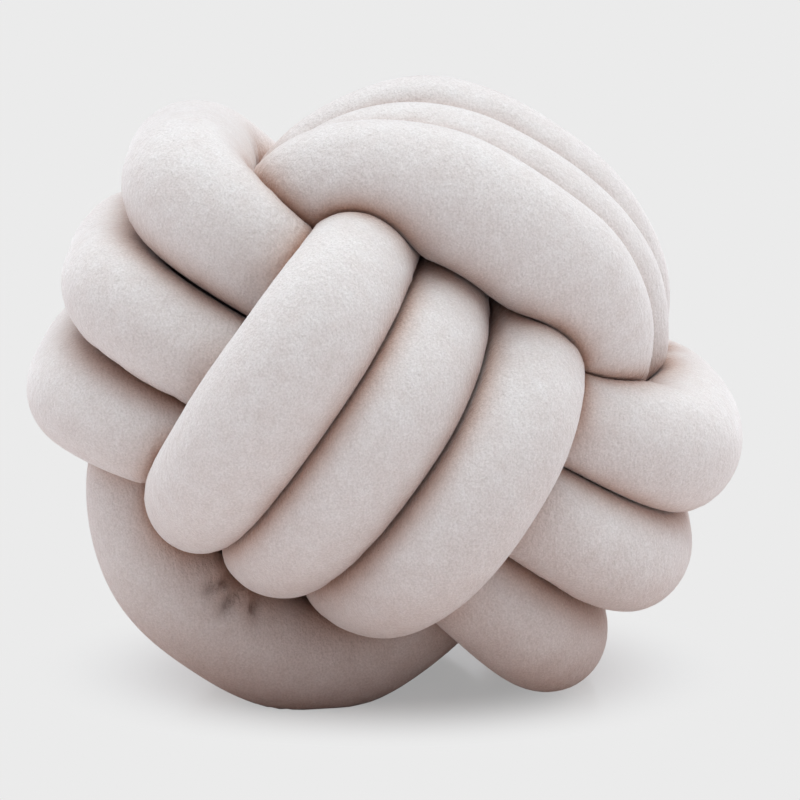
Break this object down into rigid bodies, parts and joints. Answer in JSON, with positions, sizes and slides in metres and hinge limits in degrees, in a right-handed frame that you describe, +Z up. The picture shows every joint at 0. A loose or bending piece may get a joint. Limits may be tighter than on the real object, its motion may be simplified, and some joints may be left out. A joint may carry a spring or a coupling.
{
  "type": "knot cushion",
  "caption": "Ball-shaped knot cushion: one stuffed velour tube wound into a monkey's fist of three interlaced bands.",
  "frame": {"origin": "centre of the cushion's bounding box, on the surface that it rests on", "axes": "+Z up, -Y towards the front where the three long front turns show, +X to the right seen from the front"},
  "size_m": [0.381, 0.3678, 0.322],
  "materials": {
    "velour": "short soft pile with a faint sheen, warm off-white"
  },
  "bodies": {
    "root": {"knot_tube": "velour"}
  },
  "joints": []
}
